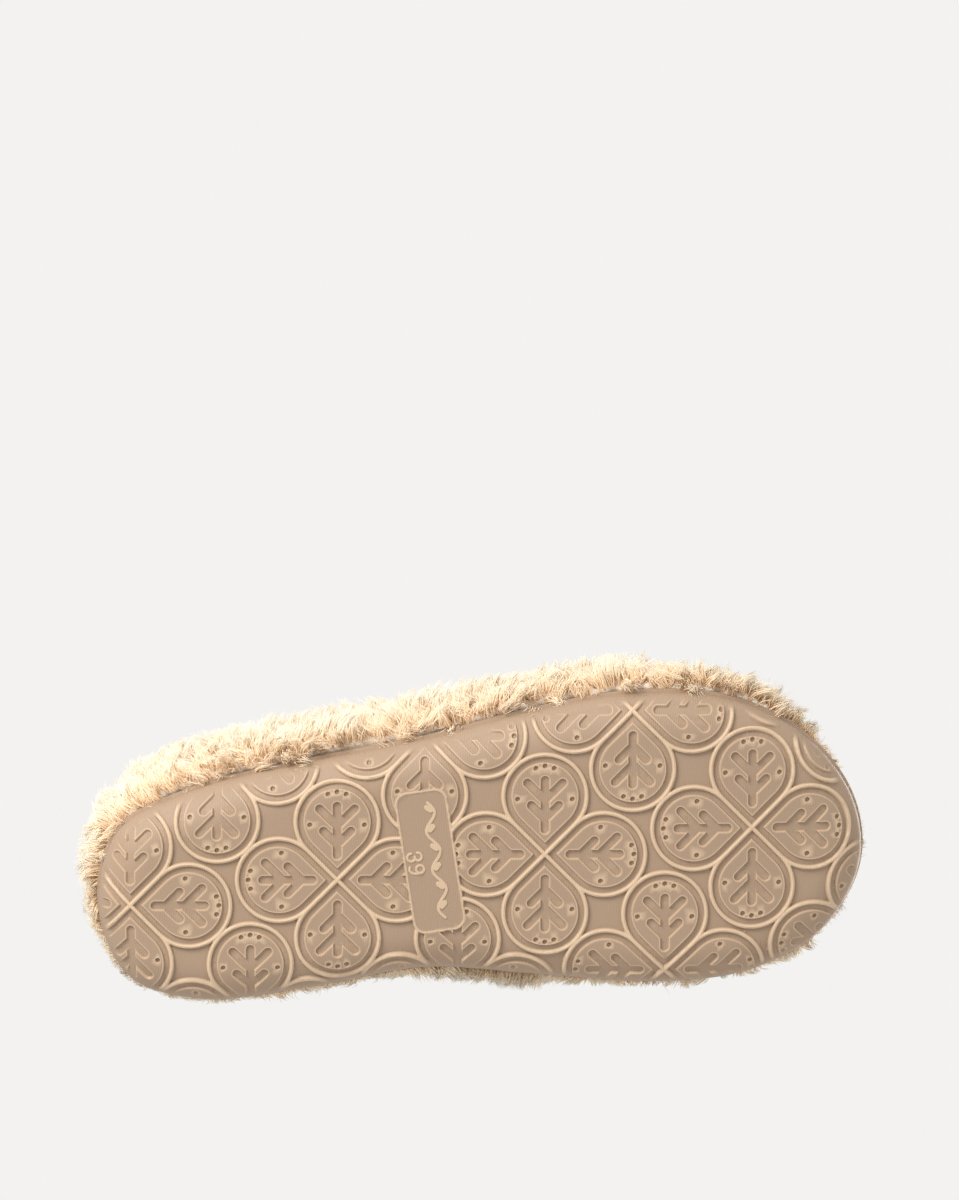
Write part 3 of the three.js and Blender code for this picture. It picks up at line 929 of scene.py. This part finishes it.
def finishMaterial(name, look):
    material, tree, shader = newMaterial(name + "Finish")
    links = tree.links
    where = node(tree, "ShaderNodeTexCoord")
    cloud = node(tree, "ShaderNodeTexNoise", Scale=60.0, Detail=5.0)
    pattern, scale = look["pattern"]
    if pattern == "cells":
        relief = node(tree, "ShaderNodeTexVoronoi", Scale=scale)
        out = relief.outputs["Distance"]
    elif pattern == "fibre":
        relief = node(tree, "ShaderNodeTexNoise", Scale=scale, Detail=6.0, Distortion=2.5)
        out = relief.outputs["Fac"]
    else:
        relief = node(tree, "ShaderNodeTexWave", Scale=scale, Distortion=0.4)
        relief.bands_direction = "DIAGONAL" if pattern == "twist" else "Z"
        out = relief.outputs["Fac"]
    links.new(where.outputs["Object"], cloud.inputs["Vector"])
    links.new(where.outputs["Object"], relief.inputs["Vector"])
    if pattern == "weave":
        cross = node(tree, "ShaderNodeTexWave", Scale=scale, Distortion=0.4)
        cross.bands_direction = "Y"
        links.new(where.outputs["Object"], cross.inputs["Vector"])
        both = node(tree, "ShaderNodeMath", operation="MULTIPLY")
        links.new(out, both.inputs[0])
        links.new(cross.outputs["Fac"], both.inputs[1])
        out = both.outputs["Value"]
    speck = node(tree, "ShaderNodeMath", operation="MULTIPLY_ADD", use_clamp=True)
    speck.inputs[1].default_value = 0.4
    tone = node(tree, "ShaderNodeMix", data_type="RGBA")
    tone.inputs["A"].default_value = (*look["dark"], 1)
    tone.inputs["B"].default_value = (*look["pale"], 1)
    bump = node(tree, "ShaderNodeBump", Strength=0.5, Distance=0.0002)
    links.new(out, speck.inputs[0])
    links.new(cloud.outputs["Fac"], speck.inputs[2])
    links.new(speck.outputs["Value"], tone.inputs["Factor"])
    links.new(tone.outputs["Result"], shader.inputs["Base Color"])
    links.new(out, bump.inputs["Height"])
    links.new(bump.outputs["Normal"], shader.inputs["Normal"])
    shader.inputs["Roughness"].default_value = look["rough"]
    return material


print("hidden parts")
madeFinishes = {name: finishMaterial(name, look) for name, look in finishes.items()}
stitches = makeStitches(madeFinishes["thread"])
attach(stitches, "root")
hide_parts("topline_thread")
inside = {
    "foam": ("midsole_foam", "memory_foam_pad"),
    "board": ("insole_board",),
    "thread": ("strobel_thread",),
    "stiffener": ("toe_puff", "heel_counter"),
    "tape": ("seam_tape_lateral", "seam_tape_medial", "back_seam_tape"),
    "felt": ("vamp_interlining_toe", "vamp_interlining_lateral", "vamp_interlining_medial",
             "quarter_interlining_lateral", "quarter_interlining_medial"),
}
for finish, names in inside.items():
    for nodeName in names:
        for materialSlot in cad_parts[nodeName].material_slots:
            materialSlot.material = madeFinishes[finish]


view = {"distance": 1.35, "tilt": 6.0, "roll": 4.6, "lens": 119.6, "aim": (139.2, 95.0)}


def makeCamera():
    tilt, roll = math.radians(view["tilt"]), math.radians(view["roll"])
    forward = Vector((math.sin(tilt), 0, math.cos(tilt)))
    plainUp = Vector((-math.cos(tilt), 0, math.sin(tilt)))
    toe = Vector((0, -1, 0))
    right = toe * math.cos(roll) - plainUp * math.sin(roll)
    up = toe * math.sin(roll) + plainUp * math.cos(roll)
    aim = Vector(toFrame(*np.array([*view["aim"], 0.0])[:, None])[0])
    data = bpy.data.cameras.new("camera")
    data.sensor_width = 36
    data.lens = view["lens"]
    data.clip_start, data.clip_end = 0.05, 50
    camera = bpy.data.objects.new("camera", data)
    bpy.context.scene.collection.objects.link(camera)
    turn = Matrix((right, up, -forward)).transposed()
    camera.matrix_world = Matrix.Translation(aim - forward * view["distance"]) @ turn.to_4x4()
    bpy.context.scene.camera = camera


studio = {
    "floor": (0.58, 0.58, 0.575, 1),
    "seen": (0.896, 0.888, 0.871, 1),
    "glow": (1.0, 0.975, 0.94, 1),
    "strength": 0.92,
    "keyBelow": {"place": (-1.0, 0.6, -0.72), "size": 0.7, "power": 19.0, "colour": (1, 0.97, 0.93)},
    "keyAbove": {"place": (0.3, -0.7, 1.6), "size": 1.0, "power": 23.0, "colour": (1, 0.98, 0.95)},
}


def makeFloor():
    bm = bmesh.new()
    bmesh.ops.create_grid(bm, x_segments=2, y_segments=2, size=4)
    bmesh.ops.translate(bm, verts=bm.verts, vec=(0, 0, -0.0006))
    material, tree, shader = newMaterial("paleFloor")
    shader.inputs["Base Color"].default_value = studio["floor"]
    shader.inputs["Roughness"].default_value = 0.9
    side = node(tree, "ShaderNodeNewGeometry")
    clear = node(tree, "ShaderNodeBsdfTransparent")
    mix = node(tree, "ShaderNodeMixShader")
    tree.links.new(side.outputs["Backfacing"], mix.inputs["Fac"])
    tree.links.new(shader.outputs["BSDF"], mix.inputs[1])
    tree.links.new(clear.outputs["BSDF"], mix.inputs[2])
    tree.links.new(mix.outputs["Shader"], tree.nodes["Material Output"].inputs["Surface"])
    floor = fromBmesh("floor", bm, material)
    floor.visible_shadow = False
    floor.visible_diffuse = False


def softLight(name):
    look = studio[name]
    data = bpy.data.lights.new(name, "AREA")
    data.shape = "DISK"
    data.size = look["size"]
    data.energy = look["power"]
    data.color = look["colour"]
    lamp = bpy.data.objects.new(name, data)
    bpy.context.scene.collection.objects.link(lamp)
    lamp.location = look["place"]
    lamp.rotation_mode = "QUATERNION"
    lamp.rotation_quaternion = (-Vector(look["place"])).to_track_quat("-Z", "Y")


def makeLight():
    world = bpy.data.worlds.new("studio")
    world.use_nodes = True
    tree = world.node_tree
    seen = tree.nodes["Background"]
    seen.inputs["Color"].default_value = studio["seen"]
    glow = node(tree, "ShaderNodeBackground", Strength=studio["strength"])
    glow.inputs["Color"].default_value = studio["glow"]
    ray = node(tree, "ShaderNodeLightPath")
    mix = node(tree, "ShaderNodeMixShader")
    tree.links.new(ray.outputs["Is Camera Ray"], mix.inputs["Fac"])
    tree.links.new(glow.outputs["Background"], mix.inputs[1])
    tree.links.new(seen.outputs["Background"], mix.inputs[2])
    tree.links.new(mix.outputs["Shader"], tree.nodes["World Output"].inputs["Surface"])
    bpy.context.scene.world = world
    bpy.context.scene.view_settings.view_transform = "Standard"
    bpy.context.scene.cycles.diffuse_bounces = 10  # light scatters many times between the strands
    softLight("keyBelow")
    softLight("keyAbove")


print("camera and light")
makeCamera()
makeFloor()
makeLight()
